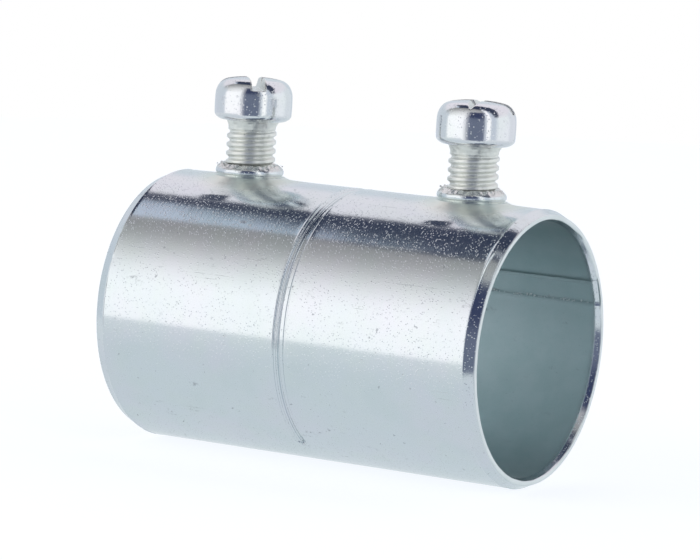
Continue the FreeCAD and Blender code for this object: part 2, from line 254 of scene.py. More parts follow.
def inner_radius(x, turn):
    x, turn = np.broadcast_arrays(np.asarray(x, float), np.asarray(turn, float))
    end = HALF_LENGTH - np.abs(x)
    line = np.stack([x, 0 * x, 0 * x], -1)
    spin = np.stack([np.cos(np.radians(turn)), np.sin(np.radians(turn)), 0 * turn], -1) * BORE
    mouth = np.clip(1 - end / MOUTH_LENGTH, 0, 1)
    radius = BORE + mouth * (MOUTH_DEPTH + waves(spin, 3.0, 0.02, 9))
    ragged = SEAM_RAGGED + waves(line, 1.6, 0.12, 3) + waves(line, 0.5, 0.05, 4)
    planed = step_up(turn, ragged - 0.2, ragged + 0.2)
    planed = planed * step_up(-turn, -SEAM_CLEAN - 0.15, -SEAM_CLEAN + 0.15)
    shape = np.clip((STOP_FOOT - np.hypot(x, beyond_groove(turn))) / (STOP_FOOT - STOP_CREST), 0, 1)
    trace = np.clip((STOP_FOOT - np.abs(x)) / (STOP_FOOT - STOP_CREST), 0, 1)
    lines = np.exp(-((turn - SEAM_CLEAN) / 0.3) ** 2) + 1.3 * np.exp(-((turn - ragged + 0.3) / 0.4) ** 2)
    radius = radius + (SEAM_DEPTH * planed + SEAM_LINE_DEPTH * lines) * (shape < 0.01)
    radius -= np.maximum(STOP_HEIGHT * shape, TRACE_HEIGHT * trace)
    place = np.stack([x, BORE * np.cos(np.radians(turn)), BORE * np.sin(np.radians(turn))], -1)
    return radius + waves(place, 9, 0.006, 6)


for label, x, turn in (("bore", 10.0, 200.0), ("seam", 10.0, 383.0), ("stop", 0.0, 180.0)):
    print(label, "radius", inner_radius(x, turn))


# %% [markdown]
# ## The drawn collars
#
# A punch pushed the wall up round each hole, so the tube rises to the collar in a soft flare,
# pinches in under the band, and ends in a rim that tore as it came through. The height of the
# flare is the smooth larger of the tube and a trumpet round the screw's axis. The tapped hole
# has a real helical thread: its radius depends on height and on angle together.

# %% Height of the flare and the collar's own outline
SCREW_RADIUS, THREAD_DEPTH, THREAD_ROOM = 3.0, 0.45, 0.12
# the thread as it looks, a little shallower than its full depth
ROOT_DEPTH = 0.34
COLLAR_RADIUS, COLLAR_HEIGHT = 4.075, 1.65
FLARE_TOP, FLARE_FOOT, FLARE_SOFT, FLARE_RISE = 4.25, 7.4, 0.34, 0.1
FLARE_FADE, FLARE_END, FLARE_POWER = 6.5, 8.6, 1.2
MOUTH_RADIUS = SCREW_RADIUS - THREAD_DEPTH + THREAD_ROOM + 0.6
COLLAR_TOP = TUBE + COLLAR_HEIGHT


def flare_height(x, y, skin_radius):
    """Height of the skin at a place measured from a screw's axis."""
    away = np.hypot(x, y)
    tube = np.sqrt(skin_radius ** 2 - y ** 2)
    foot = math.sqrt(TUBE ** 2 - FLARE_FOOT ** 2)
    share = (FLARE_FOOT - away) / (FLARE_FOOT - FLARE_TOP)
    trumpet = foot + (TUBE + FLARE_RISE - foot) * np.sign(share) * np.abs(share) ** FLARE_POWER
    soft = FLARE_SOFT * (1 - step_up(away, FLARE_FADE, FLARE_END))
    larger = 0.5 * (tube + trumpet + np.sqrt((tube - trumpet) ** 2 + soft ** 2))
    return np.where(away < FLARE_END, larger, tube)


def thread_share(angle, height, tip, crest_half, flank):
    """1 on the ridge of the thread and 0 in its root, at an angle and height."""
    turns = (height - tip) / PITCH - angle / (2 * math.pi)
    away = np.abs(turns - np.round(turns)) * PITCH
    return np.clip((crest_half + flank - away) / flank, 0, 1)


# %% [markdown]
# ## The sleeve, assembled
#
# Lines are set close where the shape turns quickly and wide where it's plain. Round each collar
# a square of the grid is left out, outside and inside, and filled with rings that change from
# that square to a circle. They run on up the collar, down through the hole and out again inside.

# %% Grid lines and the square patches
PATCH_CELLS = 32
PATCH_X, PATCH_TURN = 8.8, 30.0
RING = 4 * PATCH_CELLS


def marks(stops, steps):
    """Lines from stop to stop, each stretch divided evenly at about its own step."""
    lines = [np.array([stops[0]])]
    for start, stop, step in zip(stops[:-1], stops[1:], steps):
        count = max(1, round((stop - start) / step))
        lines.append(np.linspace(start, stop, count + 1)[1:])
    return np.concatenate(lines)


def mirrored(lines):
    """Lines from 0 outwards, repeated on the other side of 0."""
    return np.concatenate([-lines[::-1][:-1], lines])


step_turn = 2 * PATCH_TURN / PATCH_CELLS
turn_stops = (90 - PATCH_TURN, 90 + PATCH_TURN, 231.5, 236.6, 303.4, 308.5, 376.9, 378.1, 387.9, 388.5,
              450 - PATCH_TURN)
turn_lines = marks(turn_stops, (step_turn, 1.9, 0.3, 1.9, 0.3, 1.9, 0.15, 1.9, 0.15, 1.9))[:-1]
patch_start, patch_stop = SCREW_X["right"] - PATCH_X, SCREW_X["right"] + PATCH_X
bevel = HALF_LENGTH - BEVEL_LENGTH
step_x, last_x = 2 * PATCH_X / PATCH_CELLS, HALF_LENGTH - 0.03
outer_lines = mirrored(marks((0, 1.05, patch_start, patch_stop, bevel - 0.15, bevel + 0.15, last_x),
                             (0.06, 0.6, step_x, 0.2, 0.05, 0.23)))
inner_lines = mirrored(marks((0, 1.15, patch_start, patch_stop, HALF_LENGTH - MOUTH_LENGTH, last_x),
                             (0.12, 1.1, step_x, 0.5, 0.2)))
print(len(turn_lines), "lines round,", len(outer_lines), "outside and", len(inner_lines), "inside along")


# %% Lay a surface over the grid, without its two squares
def on_tube(x, turn, radius):
    angle = np.radians(turn)
    return np.stack([x, radius * np.cos(angle), radius * np.sin(angle)], -1)


def lay_surface(skin, x_lines, radius_of):
    """Adds one side of the wall and returns its point numbers, a row for each x line."""
    x, turn = np.meshgrid(x_lines, turn_lines, indexing="ij")
    numbers = skin.row(on_tube(x, turn, radius_of(x, turn)))
    middle = np.abs(x[:-1] + x[1:]) / 2
    in_patch = (middle > patch_start) & (middle < patch_stop)
    in_patch &= (turn[:-1] >= 90 - PATCH_TURN - 0.01) & (turn[:-1] < 90 + PATCH_TURN - 0.01)
    keep = ~in_patch
    after = np.roll(numbers, -1, 1)
    skin.quads(numbers[:-1][keep], after[:-1][keep], after[1:][keep], numbers[1:][keep])
    return numbers


def patch_edge(numbers, x_lines, centre):
    """The square's border, starting at its +X, front corner and going round anticlockwise."""
    first = int(np.argmin(np.abs(x_lines - (centre - PATCH_X))))
    last = first + PATCH_CELLS
    return np.concatenate([
        numbers[last, PATCH_CELLS:0:-1],
        numbers[last:first:-1, 0],
        numbers[first, 0:PATCH_CELLS],
        numbers[first:last, PATCH_CELLS],
    ])


# %% Rings that fill a square, climb the collar and go down through the hole
ring_angles = -math.pi / 4 + np.arange(RING) * 2 * math.pi / RING
ring_way = np.stack([np.cos(ring_angles), np.sin(ring_angles)], -1)


def square_to_circle(edge, centre, radius, shares):
    """Places (x, y) from the screw's axis across a square patch; a share is 1 at its edge."""
    border = edge[:, :2] - [centre, 0]
    return [border * share + ring_way * radius * (1 - share) for share in shares]


def add_ring(skin, before, places, heights, centre):
    row = skin.row(np.column_stack([places[:, 0] + centre, places[:, 1], heights]))
    skin.band(before, row)
    return row


def collar_outline():
    """(radius, height above the tube) from the flare's top over the rim to the hole's mouth."""
    waist, top, rim = COLLAR_RADIUS - 0.17, COLLAR_HEIGHT, COLLAR_RADIUS
    return [(rim - 0.02, 0.13), (waist, 0.17), (waist - 0.02, 0.25), (waist + 0.06, 0.33),
            (rim - 0.05, 0.4), (rim + 0.03, 0.52), (rim + 0.05, 0.72), (rim + 0.02, 0.92),
            (rim - 0.07, 1.08), (rim - 0.2, 1.23), (rim - 0.34, 1.37), (rim - 0.48, 1.5),
            (rim - 0.6, 1.6), (rim - 0.7, top),
            (MOUTH_RADIUS + 0.02, top - 0.06), (MOUTH_RADIUS - 0.06, 1.42), (MOUTH_RADIUS - 0.16, 1.2)]


def fill_collar(skin, side, outer_edge, inner_edge):
    centre, tip = SCREW_X[side], TIP_Z[side]
    seed = 20 if side == "left" else 40
    points = np.concatenate(skin.points)
    row = outer_edge
    shares = np.linspace(1, 0, 17)[1:] ** 1.25
    for places in square_to_circle(points[outer_edge], centre, FLARE_TOP, shares):
        x, y = places[:, 0], places[:, 1]
        turn = np.degrees(np.arctan2(np.sqrt(TUBE ** 2 - y ** 2), y))
        row = add_ring(skin, row, places, flare_height(x, y, outer_radius(x + centre, turn)), centre)

    coarse = rough_ring(ring_angles, 2, 9, 1.0, seed)
    torn = rough_ring(ring_angles, 8, 40, 1.0, seed + 1)
    for index, (radius, height) in enumerate(collar_outline()):
        rim = step_up(height, COLLAR_HEIGHT - 0.8, COLLAR_HEIGHT - 0.1)
        jitter = rough_ring(ring_angles, 10, 48, 0.035, seed + 2 + index) * rim
        around = radius + rim * (0.012 * coarse + 0.02 * torn) + jitter
        up = TUBE + height + rim * (0.05 * coarse + 0.05 * torn - 0.08) + jitter
        row = add_ring(skin, row, ring_way * around[:, None], up, centre)

    # as deep as the screw's own thread and wider by the room all round, and run out at both ends:
    # at the top the screw's neck comes down into the hole
    tapped_root, tapped_depth = SCREW_RADIUS + THREAD_ROOM, ROOT_DEPTH
    for height in np.linspace(COLLAR_TOP - 0.5, BORE + 0.5, 34):
        share = thread_share(ring_angles, height, tip, 0.2, 0.26)
        full = step_up(height, BORE + 0.5, BORE + 0.9)
        full = full * (1 - step_up(height, COLLAR_TOP - 1.4, COLLAR_TOP - 1.2))
        around = tapped_root - tapped_depth * full * (1 - share)
        row = add_ring(skin, row, ring_way * around[:, None], np.full(RING, height), centre)

    points = np.concatenate(skin.points)
    for places in [ring_way * (MOUTH_RADIUS - 0.25)] + square_to_circle(
            points[inner_edge], centre, MOUTH_RADIUS, np.linspace(0, 1, 11)[:-1] ** 0.9):
        x, y = places[:, 0], places[:, 1]
        turn = np.degrees(np.arctan2(np.sqrt(BORE ** 2 - y ** 2), y))
        heights = np.sqrt(inner_radius(x + centre, turn) ** 2 - y ** 2)
        heights += 0.25 * (np.hypot(x, y) < MOUTH_RADIUS - 0.1)
        row = add_ring(skin, row, places, heights, centre)
    skin.band(row, inner_edge)


# %% Build the sleeve
# across an end face: how far in from the outer edge, and how far the face is rounded back there
END_STEPS = ((0.03, 0.012), (0.12, 0.004), (0.3, 0.0), (0.75, 0.0), (0.95, 0.01))


def end_rings(skin, outer_row, inner_row, sign):
    """The flat face at one end, a little rounded at both edges."""
    row = outer_row
    worn = 0.02 * nicks(turn_lines, 11 + sign)
    outside, inside = TUBE - BEVEL_DEPTH, BORE + MOUTH_DEPTH
    angles = np.radians(turn_lines)
    for index, (share, back) in enumerate(END_STEPS):
        radius = outside + (inside - outside) * share + rough_ring(angles, 20, 70, 0.008, 60 + index)
        x = np.full(len(turn_lines), sign * (HALF_LENGTH - back)) - sign * worn
        after = skin.row(on_tube(x, turn_lines, radius))
        skin.band(row, after)
        row = after
    skin.band(row, inner_row)


skin = Skin()
outside = lay_surface(skin, outer_lines, outer_radius)
inside = lay_surface(skin, inner_lines, inner_radius)
end_rings(skin, outside[-1], inside[-1], 1)
end_rings(skin, outside[0], inside[0], -1)
for side in SIDES:
    fill_collar(skin, side, patch_edge(outside, outer_lines, SCREW_X[side]),
                patch_edge(inside, inner_lines, SCREW_X[side]))
sleeve_mesh = skin.mesh("bare_sleeve")


# %% [markdown]
# ## Node expressions
#
# Shaders and geometry nodes are both trees of small nodes. The class below wraps one socket and
# turns arithmetic into Math nodes, so that a formula reads as a formula. Every other node comes
# from one function that takes its type, its settings and what its sockets hold.

# %% Wrap a socket so that arithmetic adds nodes
def add_node(tree, kind, settings=(), sockets=(), output=0):
    """Adds a node, sets it up, fills its sockets with values or wires, and wraps one output."""
    node = tree.nodes.new(kind)
    for key, value in dict(settings).items():
        setattr(node, key, value)
    for key, value in dict(sockets).items():
        if isinstance(value, Wire):
            tree.links.new(value.socket, node.inputs[key])
        else:
            node.inputs[key].default_value = value
    return Wire(tree, node.outputs[output]) if len(node.outputs) else node


class Wire:
    def __init__(self, tree, socket):
        self.tree = tree
        self.socket = socket

    def math(self, operation, *others):
        sockets = dict(enumerate((self, *others)))
        return add_node(self.tree, "ShaderNodeMath", {"operation": operation}, sockets)

    def turned(self, operation, other):
        return add_node(self.tree, "ShaderNodeMath", {"operation": operation}, {0: other, 1: self})

    def __add__(self, other):
        return self.math("ADD", other)

    def __sub__(self, other):
        return self.math("SUBTRACT", other)

    def __mul__(self, other):
        return self.math("MULTIPLY", other)

    def __truediv__(self, other):
        return self.math("DIVIDE", other)

    def __rsub__(self, other):
        return self.turned("SUBTRACT", other)

    __radd__ = __add__
    __rmul__ = __mul__

    def rise(self, start, stop):
        """0 below start, 1 above stop, smooth between, as a Map Range node gives it."""
        return add_node(self.tree, "ShaderNodeMapRange", {"interpolation_type": "SMOOTHSTEP"}, {
            0: self, 1: start, 2: stop, 3: 0.0, 4: 1.0})

    def between(self, start, stop, soft):
        return self.rise(start - soft, start + soft) * (1 - self.rise(stop - soft, stop + soft))

    def mix(self, first, second):
        """A colour that goes from first to second as this number goes from 0 to 1."""
        return add_node(self.tree, "ShaderNodeMix", {"data_type": "RGBA"}, {
            0: self, 6: first, 7: second}, 2)


# %% [markdown]
# ## Zinc plate
#
# Bright zinc with a clear bluish passivate is a mirror that has been scuffed: the reflections
# are what shows its colour. Over the mirror lie a fine grain, which sparkles where the
# reflection is dark, faint draw lines round the tube, small dark scuffs, a few long scratches,
# and a pale oil-like tint that turns green and yellow where the metal was stretched. The bore
# was never polished, so it's darker and satin, and along both edges of its planed seam runs a
# painted shadow.

# %% Zinc finish for every piece
STRETCHED, SATIN, CUT = "stretched", "satin", "cut_face"
# the seam zone is painted shadow: dark lines along both edges of the planed seam in the bore
SEAM_SHADOW, TORN, ROUGH = "seam_line", "torn_rim", "unpolished"
GRAIN_HEIGHT = 4.5e-6


def colour(red, green, blue):
    return (red, green, blue, 1)


def zinc(name, base, roughness, lines, zones):
    """Zinc in this colour; lines stretches the draw marks, a zone is (attribute, colours, roughness)."""
    material = bpy.data.materials.new(name)
    material.use_nodes = True
    tree = material.node_tree
    tree.nodes.clear()
    place = add_node(tree, "ShaderNodeTexCoord", output=3)

    def noise(scale, detail=3.0, stretch=(1, 1, 1), shift=0.0):
        spot = add_node(tree, "ShaderNodeMapping", sockets={
            0: place, 1: (shift, shift * 0.7, shift * 1.3), 3: stretch})
        return add_node(tree, "ShaderNodeTexNoise", sockets={
            "Vector": spot, "Scale": scale, "Detail": detail, "Roughness": 0.6})

    tint = noise(95, 2.0)
    cloud = noise(330, 4.0, shift=0.3)
    drawn = noise(1.0, 3.0, lines)
    fine = noise(5200, 2.0)
    cells = add_node(tree, "ShaderNodeTexVoronoi", {"feature": "F1"}, {"Vector": place, "Scale": 4300})
    # each cell has a colour of its own, and only the cells with much red in it spark
    cell_colour = Wire(tree, cells.socket.node.outputs["Color"])
    lucky = add_node(tree, "ShaderNodeSeparateColor", sockets={0: cell_colour})
    sparks = (1 - cells.rise(0.03, 0.4)) * lucky.rise(0.4, 0.72)
    sparks = sparks * noise(260, 3.0, shift=2.2).rise(0.22, 0.47)
    scuffs = noise(620, 6.0, (0.5, 1, 1), 0.5).rise(0.62, 0.74)
    scuffs = scuffs * noise(2600, 3.0, shift=3.1).rise(0.42, 0.58)
    specks = noise(1500, 2.0, shift=1.7).rise(0.71, 0.75)
    scratches = noise(1.0, 2.0, (60, 5200, 5200), 0.2).rise(0.715, 0.735) * cloud.rise(0.5, 0.62)

    stain = noise(150, 5.0, shift=4.1).rise(0.48, 0.7) * 0.45
    bluish = tint.rise(0.36, 0.66).mix(base, colour(base[0] * 1.04, base[1] * 0.99, base[2] * 1.02))
    warm = cloud.rise(0.35, 0.75) * 0.4
    skin_colour = warm.mix(bluish, colour(base[0] * 1.0, base[1] * 1.02, base[2] * 0.95))
    skin_colour = stain.mix(skin_colour, colour(base[0] * 0.93, base[1] * 0.96, base[2] * 0.93))
    dirt = (scuffs * 0.4 + specks * 0.45 + scratches * 0.3).math("MINIMUM", 0.7)
    gloss = roughness + drawn * 0.05 + cloud * 0.05 + scuffs * 0.25 + specks * 0.15 + sparks * 0.35
    bump = fine * 0.6 + drawn * 0.8 + sparks * 4.2 - scuffs * 1.2 - specks * 2.0 - scratches * 1.5
    for attribute, (zone_colour, other_colour), rougher in zones:
        zone = add_node(tree, "ShaderNodeAttribute", {"attribute_name": attribute}, output=2)
        skin_colour = zone.mix(skin_colour, cloud.rise(0.3, 0.7).mix(zone_colour, other_colour))
        gloss = gloss + zone * rougher
        dirt = dirt * (1 - zone * 0.6)
        bump = bump * (1 - zone * 0.4)
    skin_colour = dirt.mix(skin_colour, colour(0.20, 0.21, 0.24))
    normal = add_node(tree, "ShaderNodeBump", sockets={
        "Strength": 1.0, "Distance": GRAIN_HEIGHT, "Height": bump})
    shader = add_node(tree, "ShaderNodeBsdfPrincipled", sockets={
        "Base Color": skin_colour, "Metallic": 1.0, "Roughness": gloss.math("MINIMUM", 0.7),
        "Normal": normal})
    add_node(tree, "ShaderNodeOutputMaterial", sockets={"Surface": shader})
    print("material", name, "with", len(tree.nodes), "nodes")
    return material


sleeve_zinc = zinc("zinc_sleeve_finish", colour(0.70, 0.75, 0.78), 0.075, (2600, 90, 90), (
    (STRETCHED, (colour(0.80, 0.82, 0.75), colour(0.76, 0.83, 0.78)), 0.24),
    (SATIN, (colour(0.69, 0.79, 0.80), colour(0.75, 0.83, 0.845)), 0.27),
    (CUT, (colour(0.80, 0.84, 0.85), colour(0.74, 0.79, 0.80)), 0.3),
    (TORN, (colour(0.58, 0.59, 0.57), colour(0.84, 0.84, 0.81)), 0.16),
    # painted shadow: the seam zone darkens both edges of the planed seam to a dark teal
    (SEAM_SHADOW, (colour(0.20, 0.28, 0.30), colour(0.26, 0.33, 0.35)), 0.1)))
screw_zinc = zinc("zinc_screw_finish", colour(0.74, 0.775, 0.80), 0.08, (900, 900, 160), (
    (ROUGH, (colour(0.78, 0.79, 0.75), colour(0.85, 0.86, 0.83)), 0.25),))

# %% [markdown]
# ## Specks and burrs
#
# Bits of torn metal cling to each collar's rim, and weld spatter to the ragged edge of the
# seam. They repeat along a line, so Geometry Nodes place them: every point of a simple chain of
# vertices is moved at random, gets a small lump of random size and turn, and the lumps are made
# real. The lumps overlap the sleeve's skin, as the real ones are welded to it.

# %% A node tree that sets small lumps along a chain of points
def new_tree(name, inputs):
    """An empty geometry tree with named inputs; returns it, its geometry and its input wires."""
    tree = bpy.data.node_groups.new(name, "GeometryNodeTree")
    tree.interface.new_socket("Geometry", in_out="INPUT", socket_type="NodeSocketGeometry")
    for label, kind in inputs.items():
        tree.interface.new_socket(label, in_out="INPUT", socket_type=kind)
    tree.interface.new_socket("Geometry", in_out="OUTPUT", socket_type="NodeSocketGeometry")
    entry = tree.nodes.new("NodeGroupInput")
    wires = {label: Wire(tree, entry.outputs[label]) for label in inputs}
    return tree, Wire(tree, entry.outputs["Geometry"]), wires


def end_tree(tree, geometry, material):
    """Every tree ends by making instances real and setting the material."""
    real = add_node(tree, "GeometryNodeRealizeInstances", sockets={0: geometry})
    painted = add_node(tree, "GeometryNodeSetMaterial", sockets={0: real, "Material": material})
    add_node(tree, "NodeGroupOutput", sockets={0: painted})


def run_tree(tree, mesh, values):
    """Runs a tree on a mesh with these input values and returns a plain mesh."""
    piece = bpy.data.objects.new("work_" + tree.name, mesh)
    bpy.context.scene.collection.objects.link(piece)
    modifier = piece.modifiers.new("nodes", "NODES")
    modifier.node_group = tree
    sockets = {item.name: item.identifier for item in tree.interface.items_tree if item.in_out == "INPUT"}
    for label, value in values.items():
        modifier[sockets[label]] = value
    bpy.context.view_layer.update()
    depsgraph = bpy.context.evaluated_depsgraph_get()
    made = bpy.data.meshes.new_from_object(piece.evaluated_get(depsgraph))
    piece.modifiers.remove(modifier)
    bpy.data.objects.remove(piece)
    return made


def lumps_tree():
    tree, chain, given = new_tree("metal_specks", {
        "Smallest": "NodeSocketFloat", "Largest": "NodeSocketFloat", "Scatter": "NodeSocketFloat",
        "Seed": "NodeSocketInt", "Finish": "NodeSocketMaterial"})

    def random(kind, low, high, offset, output):
        return add_node(tree, "FunctionNodeRandomValue", {"data_type": kind}, {
            low[0]: low[1], high[0]: high[1], "Seed": given["Seed"] + offset}, output)

    way = random("FLOAT_VECTOR", (0, (-1, -1, -1)), (1, (1, 1, 1)), 1, 0)
    offset = add_node(tree, "ShaderNodeVectorMath", {"operation": "SCALE"}, {
        0: way, "Scale": given["Scatter"]})
    moved = add_node(tree, "GeometryNodeSetPosition", sockets={"Geometry": chain, "Offset": offset})
    lump = add_node(tree, "GeometryNodeMeshIcoSphere", sockets={"Radius": 1.0, "Subdivisions": 1})
    size = random("FLOAT", (2, given["Smallest"]), (3, given["Largest"]), 2, 1)
    flat = random("FLOAT_VECTOR", (0, (0.5, 0.5, 0.3)), (1, (1.5, 1.2, 0.9)), 3, 0)
    scale = add_node(tree, "ShaderNodeVectorMath", {"operation": "SCALE"}, {0: flat, "Scale": size})
    turn = random("FLOAT_VECTOR", (0, (0, 0, 0)), (1, (6.28, 6.28, 6.28)), 4, 0)
    set_out = add_node(tree, "GeometryNodeInstanceOnPoints", sockets={
        "Points": moved, "Instance": lump, "Rotation": turn, "Scale": scale})
    end_tree(tree, set_out, given["Finish"])
    return tree


specks = lumps_tree()
print("speck tree has", len(specks.nodes), "nodes")


# %% Chains along each rim and along the ragged edge of the seam
def chain(points):
    mesh = bpy.data.meshes.new("chain")
    mesh.from_pydata((np.asarray(points) * MM).tolist(), [], [])
    return mesh


def rim_points(side, count, seed):
    """Places round a collar's rim, in loose clusters."""
    draw = np.random.default_rng(seed)
    angle = np.sort(draw.uniform(0, 2 * math.pi, count)) + 0.15 * draw.normal(size=count)
    radius = draw.choice([COLLAR_RADIUS - 0.1, COLLAR_RADIUS - 0.35, MOUTH_RADIUS + 0.15], count)
    height = TUBE + COLLAR_HEIGHT - 0.1 - 0.16 * (radius > COLLAR_RADIUS - 0.2)
    return np.stack([SCREW_X[side] + radius * np.cos(angle), radius * np.sin(angle), height], -1)


def seam_points(count, seed):
    draw = np.random.default_rng(seed)
    x = draw.uniform(-HALF_LENGTH + 1.5, HALF_LENGTH - 1.2, count)
    x = np.where(np.abs(x) < STOP_FOOT, x + 2 * STOP_FOOT, x)
    turn = SEAM_RAGGED + draw.normal(size=count) * 0.25
    return on_tube(x, turn, np.full(count, BORE + 0.02))


size_names = ("Smallest", "Largest", "Scatter")
speck_meshes = []
for points, sizes, seed in (
        (rim_points("left", 46, 3), (0.03, 0.13, 0.05), 5),
        (rim_points("right", 46, 4), (0.03, 0.13, 0.05), 6),
        (seam_points(260, 5), (0.04, 0.15, 0.08), 7)):
    values = {name: size * MM for name, size in zip(size_names, sizes)}
    speck_meshes.append(run_tree(specks, chain(points), {**values, "Seed": seed, "Finish": sleeve_zinc}))
print("specks:", [len(mesh.polygons) for mesh in speck_meshes])


# %% Join them to the sleeve and mark where it was stretched and where it's satin
def join(name, meshes):
    shape = bmesh.new()
    for mesh in meshes:
        shape.from_mesh(mesh)
    joined = bpy.data.meshes.new(name)
    shape.to_mesh(joined)
    shape.free()
    joined.shade_smooth()
    return joined


def mark_points(mesh, name, values):
    attribute = mesh.attributes.new(name, "FLOAT", "POINT")
    attribute.data.foreach_set("value", np.asarray(values, np.float32))


def points_of(mesh):
    points = np.zeros(len(mesh.vertices) * 3)
    mesh.vertices.foreach_get("co", points)
    return points.reshape(-1, 3) / MM


bare_count = len(sleeve_mesh.vertices)
sleeve_mesh = join("zinc_sleeve", [sleeve_mesh, *speck_meshes])
places = points_of(sleeve_mesh)
round_radius = np.hypot(places[:, 1], places[:, 2])
near = np.min([np.hypot(places[:, 0] - SCREW_X[side] - 1.0, places[:, 1]) for side in SIDES], axis=0)
stretched = (1 - step_up(near, 4.8, 8.4)) * (places[:, 2] > 0)
stretched *= 1 - step_up(places[:, 2], TUBE, TUBE + 0.5)
from_end = HALF_LENGTH - np.abs(places[:, 0])
satin = (round_radius < BORE + 0.25) * step_up(from_end, 0.7, 0.9)
satin *= ~((near < MOUTH_RADIUS + 1) & (places[:, 2] > BORE))
satin[bare_count:] = 0
cut_face = 1 - step_up(from_end, 0.01, 0.12)
cut_face[bare_count:] = 1
from_screw = np.min([np.hypot(places[:, 0] - SCREW_X[side], places[:, 1]) for side in SIDES], axis=0)
torn_rim = step_up(places[:, 2], TUBE + 0.85, TUBE + 1.15) * (from_screw > MOUTH_RADIUS - 0.4)
torn_rim *= 0.85
# painted shadow along the planed seam: a dark line at its clean edge and a fainter one at its ragged edge,
# only in the satin bore
around = np.degrees(np.arctan2(places[:, 2], places[:, 1])) + 360
seam = np.exp(-((around - SEAM_CLEAN) / 0.35) ** 2)
seam += 0.6 * np.exp(-((around - SEAM_RAGGED + 0.3) / 0.5) ** 2)
seam *= satin
zone_amounts = {STRETCHED: stretched, SATIN: satin, CUT: cut_face, TORN: torn_rim, SEAM_SHADOW: seam}
for zone, amount in zone_amounts.items():
    mark_points(sleeve_mesh, zone, amount)
sleeve = show(sleeve_mesh, sleeve_zinc)

# %% [markdown]
# ## Screw threads
#
# A thread follows a rule, so it is a Geometry Nodes tree too. A flat grid is rolled up: its
# first direction becomes the angle and its second the height, and the radius comes from how far
# that place is from the ridge, which climbs one pitch a turn. The first and last rows are drawn
# in to the axis, so that the piece is closed once doubles are merged.

# %% A node tree that rolls a grid up into a threaded shank
NECK_LENGTH, SHANK_LENGTH, POINT_LENGTH = 1.45, 7.94, 0.7


def thread_tree():
    names = ["Outer Radius", "Root Radius", "Neck Radius", "Flange Radius", "Pitch", "Bottom", "Neck Start",
             "Top", "Ridge Height", "Crest Half Width", "Flank Width", "Axis X", "Emboss"]
    inputs = {name: "NodeSocketFloat" for name in names}
    inputs.update({"Around": "NodeSocketInt", "Along": "NodeSocketInt", "Finish": "NodeSocketMaterial"})
    tree, _, given = new_tree("screw_thread", inputs)
    grid = add_node(tree, "GeometryNodeMeshGrid", sockets={
        "Size X": 1.0, "Size Y": 1.0, "Vertices X": given["Around"], "Vertices Y": given["Along"]})
    spot = add_node(tree, "ShaderNodeSeparateXYZ", sockets={
        0: add_node(tree, "GeometryNodeInputPosition")})
    across = Wire(tree, spot.socket.node.outputs[1])
    share = spot + 0.5
    up = (across + 0.5).math("MINIMUM", 1.0)
    angle = share * (2 * math.pi)
    height = given["Bottom"] + up * (given["Top"] - given["Bottom"])

    turns = (height - given["Ridge Height"]) / given["Pitch"] - share
    away = (turns - turns.math("ROUND")).math("ABSOLUTE") * given["Pitch"]
    ridge = ((given["Crest Half Width"] + given["Flank Width"] - away) / given["Flank Width"])
    ridge = ridge.math("MAXIMUM", 0.0).math("MINIMUM", 1.0)
    ridge = ridge * ridge * (3 - 2 * ridge)
    cut = given["Root Radius"] + ridge * (given["Outer Radius"] - given["Root Radius"])
    started = add_node(tree, "ShaderNodeMapRange", {"interpolation_type": "SMOOTHSTEP"}, {
        0: height, 1: given["Bottom"], 2: given["Bottom"] + given["Pitch"] * 0.6, 3: 0.55, 4: 1.0})
    cut = given["Root Radius"] + (cut - given["Root Radius"]) * started
    in_neck = height.rise(given["Neck Start"] - given["Pitch"] * 0.25,
                          given["Neck Start"] + given["Pitch"] * 0.2)
    flange = ((height - given["Neck Start"]) / (given["Top"] - given["Neck Start"])).math("MAXIMUM", 0.0)
    spread = given["Flange Radius"] - given["Neck Radius"]
    neck = given["Neck Radius"] + flange.math("POWER", 1.6) * spread
    lumpy = add_node(tree, "ShaderNodeTexVoronoi", {"feature": "SMOOTH_F1"}, {
        "Vector": add_node(tree, "ShaderNodeCombineXYZ", sockets={
            0: angle.math("COSINE") * 4.1, 1: angle.math("SINE") * 4.1, 2: up * 17.0}), "Scale": 1.0})
    neck = neck + (lumpy - 0.4) * given["Emboss"] * in_neck
    radius = cut + (neck - cut) * in_neck
    closed = up.math("GREATER_THAN", 1e-5) * up.math("LESS_THAN", 1 - 1e-5)
    radius = radius * closed

    rolled = add_node(tree, "ShaderNodeCombineXYZ", sockets={
        0: given["Axis X"] + radius * angle.math("COSINE"), 1: radius * angle.math("SINE"), 2: height})
    placed = add_node(tree, "GeometryNodeSetPosition", sockets={"Geometry": grid, "Position": rolled})
    merged = add_node(tree, "GeometryNodeMergeByDistance", sockets={"Geometry": placed, "Distance": 1e-7})
    end_tree(tree, merged, given["Finish"])
    return tree


threads = thread_tree()
print("thread tree has", len(threads.nodes), "nodes")


# %% Run the tree for each screw
def make_thread(side):
    tip = TIP_Z[side]
    under_head = tip + SHANK_LENGTH
    sizes = {"Outer Radius": SCREW_RADIUS, "Root Radius": SCREW_RADIUS - ROOT_DEPTH, "Neck Radius": 2.82,
             "Flange Radius": 3.4, "Pitch": PITCH, "Bottom": tip + POINT_LENGTH - 0.02,
             "Neck Start": under_head - NECK_LENGTH + 0.3, "Top": under_head + 0.3, "Ridge Height": tip,
             "Crest Half Width": 0.13, "Flank Width": 0.34, "Axis X": SCREW_X[side], "Emboss": 0.14}
    values = {name: size * MM for name, size in sizes.items()}
    values.update({"Around": 145, "Along": 131, "Finish": screw_zinc})
    mesh = run_tree(threads, bpy.data.meshes.new("empty"), values)
    mesh.name = f"{side}_thread"
    return face_outwards(mesh)


thread_meshes = {side: make_thread(side) for side in SIDES}


# %% [markdown]
# ## Screw heads and points
#
# A head was forged as a barrel with a domed top, then slotted, with a V pressed across the slot.
# It's turned from an outline, cut with two plain wedges, and then remeshed in very small voxels,
# which rounds every edge a little, as plating does. It is made with the slot along X, so that
# the walls lie along the voxels, and turned into place afterwards.

